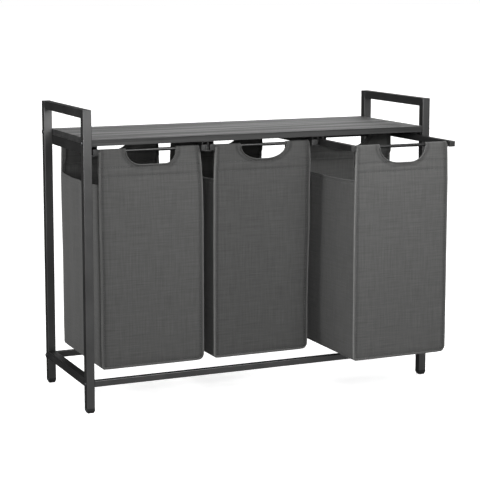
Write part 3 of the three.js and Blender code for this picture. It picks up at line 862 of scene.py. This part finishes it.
class Panel:
    """A front or rear panel: up the outside, over the rod, down again as a facing, and a lip that
    joins both layers round the hand hole."""

    def __init__(self, grid, bag, end):
        self.grid, self.bag, self.end = grid, bag, end
        self.run, self.previous = 0.0, None

    def row(self, z, place):
        """Adds the points at a height; place(x) gives each one. A row is (left, middle, right)."""
        parts = panel_columns(self.bag, self.end, min(z, self.bag.rod_z))
        points = [[place(x) for x in xs] for xs in parts]
        first = points[0][0]
        self.run += (first - self.previous).length if self.previous else 0.0
        self.previous = first
        if z > self.bag.hole_bottom(self.end) + SAME_HEIGHT:
            points[1] = []
        return [self.grid.row(line, [self.cloth_value(p.x, z) for p in line]) for line in points]

    def cloth_value(self, x, z):
        return x - self.bag.x, self.run, self.bag.tone(self.end, x, min(z, self.bag.rod_z))

    def join(self, a, b):
        if a[1] and b[1]:
            self.grid.join(sum(a, []), sum(b, []))
        else:
            self.grid.join(a[0], b[0])
            self.grid.join(a[2], b[2])

    def build(self):
        bag, end = self.bag, self.end
        rod_y = bag.face[end] - end * bag.sleeve
        lower, upper = panel_rows(bag, end)
        outer = [self.row(z, lambda x, z=z: bag.panel_point(end, x, z)) for z in lower + upper]
        wrap = []
        for step in range(1, SLEEVE_STEPS + 1):
            angle = math.pi * step / SLEEVE_STEPS
            y = rod_y + end * bag.sleeve * math.cos(angle)
            z = bag.rod_z + bag.sleeve * math.sin(angle) * SLEEVE_HEIGHT
            wrap.append(self.row(max(z, bag.rod_z), lambda x, y=y, z=z: Vector((x, y, z))))
        levels = [z for z in (lower + upper)[::-1] if bag.rod_z - FACING_DROP <= z < bag.rod_z - SAME_HEIGHT]
        facing = [self.row(z, lambda x, z=z: bag.facing_point(end, x, z)) for z in levels]
        rows = outer + wrap + facing
        for a, b in zip(rows, rows[1:]):
            self.join(a, b)
        pairs = [(outer[(lower + upper).index(z)], inner) for z, inner in zip(levels, facing)
                 if bag.hole_bottom(end) - SAME_HEIGHT < z < bag.rod_z - LIP_DROP]
        for (a, b), (c, d) in zip(pairs, pairs[1:]):
            self.grid.faces.append((a[0][-1], c[0][-1], d[0][-1], b[0][-1]))
            self.grid.faces.append((a[2][0], c[2][0], d[2][0], b[2][0]))
        a, b = pairs[-1]
        self.grid.join([a[0][-1], *a[1], a[2][0]], [b[0][-1], *b[1], b[2][0]])


def add_gusset(grid, bag):
    """The strip that makes both sides and the bottom."""
    path = bag.gusset_path()
    near = [-1 + step * MM / bag.half_depth for step in GUSSET_STEPS]
    depths = near + spread(near[-1], -near[-1], GRID / bag.half_depth)[1:-1] + [-d for d in near[::-1]]
    run, previous, rows = 0.0, None, []
    for entry in path:
        line = [bag.gusset_point(entry, depth) for depth in depths]
        run += (line[0] - previous).length if previous else 0.0
        previous = line[0]
        rows.append(grid.row(line, [(p.y, run, 0.0) for p in line]))
    for a, b in zip(rows, rows[1:]):
        grid.join(a, b)


def bag_shell(bag):
    grid = Grid()
    Panel(grid, bag, FRONT).build()
    Panel(grid, bag, REAR).build()
    add_gusset(grid, bag)
    name = f"{bag.name}_cloth"
    mesh = mesh_from(name, grid.points, grid.faces)
    set_cloth(mesh, grid.cloth)
    orient_outward(mesh, bag)
    shell = new_piece(name, mesh, bag.name, [CLOTHS[bag.number]], [f"{bag.name}_fabric"])
    solid = shell.modifiers.new("thickness", "SOLIDIFY")
    solid.thickness = CLOTH_THICKNESS
    solid.offset = -1.0


def orient_outward(mesh, bag):
    """Turns the faces of the cloth so that the lower part of the bag faces out."""
    shape = bmesh.new()
    shape.from_mesh(mesh)
    bmesh.ops.recalc_face_normals(shape, faces=shape.faces)
    centre = Vector((bag.x, (bag.face[FRONT] + bag.face[REAR]) / 2, lerp(bag.bottom, bag.top, 0.4)))
    seen = set()
    for start in shape.faces:
        if start in seen:
            continue
        island, stack = [], [start]
        seen.add(start)
        while stack:
            face = stack.pop()
            island.append(face)
            for edge in face.edges:
                for near in edge.link_faces:
                    if near not in seen:
                        seen.add(near)
                        stack.append(near)
        low = [f for f in island if f.calc_center_median().z < lerp(bag.bottom, bag.top, 0.6)]
        vote = sum((f.calc_center_median() - centre).dot(f.normal) * f.calc_area() for f in low)
        if vote < 0:
            bmesh.ops.reverse_faces(shape, faces=island)
    shape.to_mesh(mesh)
    shape.free()


def outline_frames(bag, end, inset, lift, tuck=0.0):
    """Frames along the edge of a front or rear panel: down the left, along the bottom, up the
    right. inset moves them in from the edge, lift out of the panel; on the right they are moved
    back behind the edge by tuck."""
    top = bag.rod_z - BINDING_DROP
    upper = [(bag.edge_x(LEFT, z), z, -1.0, 0.0) for z in spread(top, bag.side_top, GRID)[:-1]]
    path = [(x, z, out_x, out_z) for x, z, out_x, out_z, _ in bag.gusset_path()]
    lower = [(bag.edge_x(RIGHT, z), z, 1.0, 0.0) for z in spread(bag.side_top, top, GRID)[1:]]
    normal = Vector((0, end, 0))
    frames = []
    for x, z, out_x, out_z in upper + path + lower:
        out = Vector((out_x, 0, out_z)).normalized()
        hidden = tuck * smoothstep(0.2, 0.9, out.x)
        place = bag.panel_point(end, x - out.x * inset, z - out.z * inset)
        frames.append((place + normal * (lift - hidden) + out * hidden * 0.4, out, normal))
    return frames


def hole_frames(bag, end, outset, lift):
    """Frames along the hand hole, from its left top end round the bottom to the right one.
    outset moves them out of the hole, into the cloth."""
    outline = []
    for side in (LEFT, RIGHT):
        reach, corner, depth = bag.hole_side(end, side)
        arc = []
        for step in range(HOLE_ARC_STEPS + 1):
            angle = math.radians(lerp(3, 90, step / HOLE_ARC_STEPS))
            out = Vector((side * math.cos(angle) * depth, 0, -math.sin(angle) * corner)).normalized()
            arc.append((bag.x + side * (reach - corner + corner * math.cos(angle)),
                        bag.rod_z - depth * math.sin(angle), out))
        outline += arc if side == LEFT else arc[::-1]
        if side == LEFT:
            flat = [bag.hole_edge(end, k, bag.bottom) for k in (LEFT, RIGHT)]
            outline += [(x, bag.hole_bottom(end), Vector((0, 0, -1))) for x in spread(*flat, GRID)[1:-1]]
    normal = Vector((0, end, 0))
    return [(bag.panel_point(end, x + out.x * outset, z + out.z * outset) + normal * lift, out, normal)
            for x, z, out in outline]


def bag_trims(bag):
    """Bindings, hems and stitching."""
    points, faces = [], []
    for word, end in ENDS.items():
        normal = Vector((0, end, 0))
        # The edge binding gets a painted highlight on its outer side, the hand binding one on its inner side
        # along the hole's lip; both get painted shade elsewhere.
        tape(f"{bag.name}_binding_{word}", bag.name,
             outline_frames(bag, end, BINDING_INSET, BINDING_LIFT, BINDING_TUCK), *EDGE_BINDING, TAPE, 1)
        tape(f"{bag.name}_hand_binding_{word}", bag.name,
             hole_frames(bag, end, HAND_BINDING_OUTSET, 0.0), *HAND_BINDING, CLOTHS[bag.number], -1)
        stitch_row(outline_frames(bag, end, EDGE_SEAM, STITCH_LIFT), points, faces)
        stitch_row(hole_frames(bag, end, HOLE_SEAM, STITCH_LIFT), points, faces)
        for z in [bag.rod_z - drop for drop in STITCH_DROPS]:
            row = [(bag.panel_point(end, x, z) + normal * ROW_LIFT, None, normal)
                   for x in spread(bag.edge_x(LEFT, z) + 5 * MM, bag.edge_x(RIGHT, z) - 5 * MM, GRID)]
            stitch_row(row, points, faces)
    up = Vector((0, 0, 1))
    depths = spread(-HEM_REACH, HEM_REACH, 0.05)
    for word, side in SIDES.items():
        out = Vector((side, 0, 0))
        edge, below = [(bag.edge_x(side, z), z, side, 0.0, side)
                       for z in (bag.side_top, bag.side_top - HEM_STITCH_DROP)]
        hem = [(bag.gusset_point(edge, d) - up * HEM_DROP - out * HEM_INSET, up, out) for d in depths]
        tape(f"{bag.name}_side_hem_{word}", bag.name, hem, *SIDE_HEM, CLOTHS[bag.number])
        stitch_row([(bag.gusset_point(below, d) + out * STITCH_LIFT, up, out) for d in depths], points, faces)
    mesh = mesh_from(f"{bag.name}_stitching", points, faces)
    fix_normals(mesh)
    new_piece(f"{bag.name}_stitching", mesh, bag.name, [THREAD])


# -------------------- stage
CAMERA_PLACE = Vector((-1555.2, -3513.3, 1008.2)) * MM  # from the middle of the frame, on the floor
CAMERA_YAW = 23.962
CAMERA_PITCH = 7.766
CAMERA_SHIFT = -0.1
FOCAL_SHARE = 3.1778  # focal length as a share of the picture's width
SENSOR = 36.0
FLOOR_REACH = 60.0
# Panels of light: name, place and target from the middle of the frame, size, watts.
PANELS_OF_LIGHT = [("front_top", (0.15, -1.3, 1.2), (0.1, 0.0, 0.4), (1.2, 0.7), 25),
                   ("left_side", (-1.3, -0.2, 0.65), (-0.42, 0.1, 0.3), (0.6, 0.6), 8)]
# Soft parallel lights: name, direction from the object to the light, strength, spread in degrees.
SUNS = [("key", (-0.5, -1.8, 0.42), 0.55, 25), ("left", (-1.8, 0.0, 0.3), 0.55, 25),
        ("right_fill", (1.8, 0.25, 0.6), 0.8, 45), ("rim", (0.0, 1.3, 1.5), 0.25, 25),
        ("back_fill", (1.2, 1.3, 1.2), 1.9, 50)]
# Dark sides of the room: direction, the dot product with it from which the room is darkest, and
# the share of the light that is left there.
DARK_SIDES = [((-0.62, 0.78, 0.0), 0.85, 0.04), ((0.98, 0.18, 0.0), 0.75, 0.15)]


def frame_middle():
    """The point on the floor in the middle of the four posts."""
    low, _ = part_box("post_front_left")
    _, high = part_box("post_rear_right")
    return Vector(((low.x + high.x) / 2, (low.y + high.y) / 2, 0.0))


def camera():
    data = bpy.data.cameras.new("camera")
    data.sensor_width = SENSOR
    data.lens = FOCAL_SHARE * SENSOR
    data.shift_y = CAMERA_SHIFT
    data.clip_end = 300
    eye = add_object("camera", data)
    eye.location = frame_middle() + CAMERA_PLACE
    eye.rotation_euler = (math.radians(90 - CAMERA_PITCH), 0, -math.radians(CAMERA_YAW))
    bpy.context.scene.camera = eye


def area_light(name, place, target, size, power):
    data = bpy.data.lights.new(name, "AREA")
    data.shape = "RECTANGLE"
    data.size, data.size_y = size
    data.energy = power
    light = add_object(name, data)
    light.location = frame_middle() + Vector(place)
    light.rotation_euler = (Vector(target) - Vector(place)).to_track_quat("-Z", "Y").to_euler()
    light.visible_camera = False


def sun(name, toward, power, spread_angle):
    data = bpy.data.lights.new(name, "SUN")
    data.energy = power
    data.angle = math.radians(spread_angle)
    add_object(name, data).rotation_euler = Vector(toward).to_track_quat("Z", "Y").to_euler()


def studio_walls():
    """The world: a white backdrop, and for the light a room that is pale low down, dimmer above,
    and dark behind the object on its left and beside it on its right."""
    world = bpy.data.worlds.new("studio")
    bpy.context.scene.world = world
    world.use_nodes = True
    tree = world.node_tree
    backdrop = tree.nodes["Background"]
    way = add_node(tree, "TexCoord").outputs["Generated"]
    height = add_node(tree, "SeparateXYZ", Vector=way).outputs[2]
    room = ramp(tree, height, [(0.0, 0.6), (0.25, 0.6), (0.5, 0.27), (1.0, 0.34)])
    for direction, full, darkest in DARK_SIDES:
        toward = add_node(tree, "VectorMath", {"operation": "DOT_PRODUCT"}, _0=way, _1=direction)
        shade = ramp(tree, toward.outputs["Value"], [(0.2, 1.0), (full, darkest)])
        room = multiplied(tree, room, shade)
    seen = add_node(tree, "LightPath").outputs["Is Camera Ray"]
    shown = add_node(tree, "MixRGB", Fac=seen, Color1=room, Color2=(1.0, 1.0, 1.0, 1.0)).outputs[0]
    tree.links.new(shown, backdrop.inputs["Color"])


def pale_floor():
    """A white floor. It throws back less light than it shows, so that the bags grow darker toward
    it and only soft shadows stay on it."""
    corners = [(x * FLOOR_REACH, y * FLOOR_REACH, 0) for x, y in ((-1, -1), (1, -1), (1, 1), (-1, 1))]
    mesh = mesh_from("floor", corners, [(0, 1, 2, 3)], smooth=False)
    floor = add_object("floor", mesh)
    material, tree, shader = new_material("pale_floor", Roughness=0.9, Specular_IOR_Level=0.1)
    shader.inputs["Emission Color"].default_value = (1.0, 1.0, 1.0, 1.0)
    seen = add_node(tree, "LightPath").outputs["Is Camera Ray"]
    feed(shader, "Base Color", ramp(tree, seen, [(0.0, 0.25), (1.0, 0.86)]))
    feed(shader, "Emission Strength", math_node(tree, "MULTIPLY", seen, 0.7))
    mesh.materials.append(material)


def studio():
    bpy.context.scene.view_settings.view_transform = "Standard"
    studio_walls()
    for light in SUNS:
        sun(*light)
    for light in PANELS_OF_LIGHT:
        area_light(*light)
    pale_floor()


# -------------------- build
camera()
steel_tubes()
plastic_parts()
guide_rails()
shelf()
base_boards()
rods()
bolts()
for bag_number in BAGS:
    sack = Bag(bag_number)
    bag_shell(sack)
    bag_trims(sack)
studio()
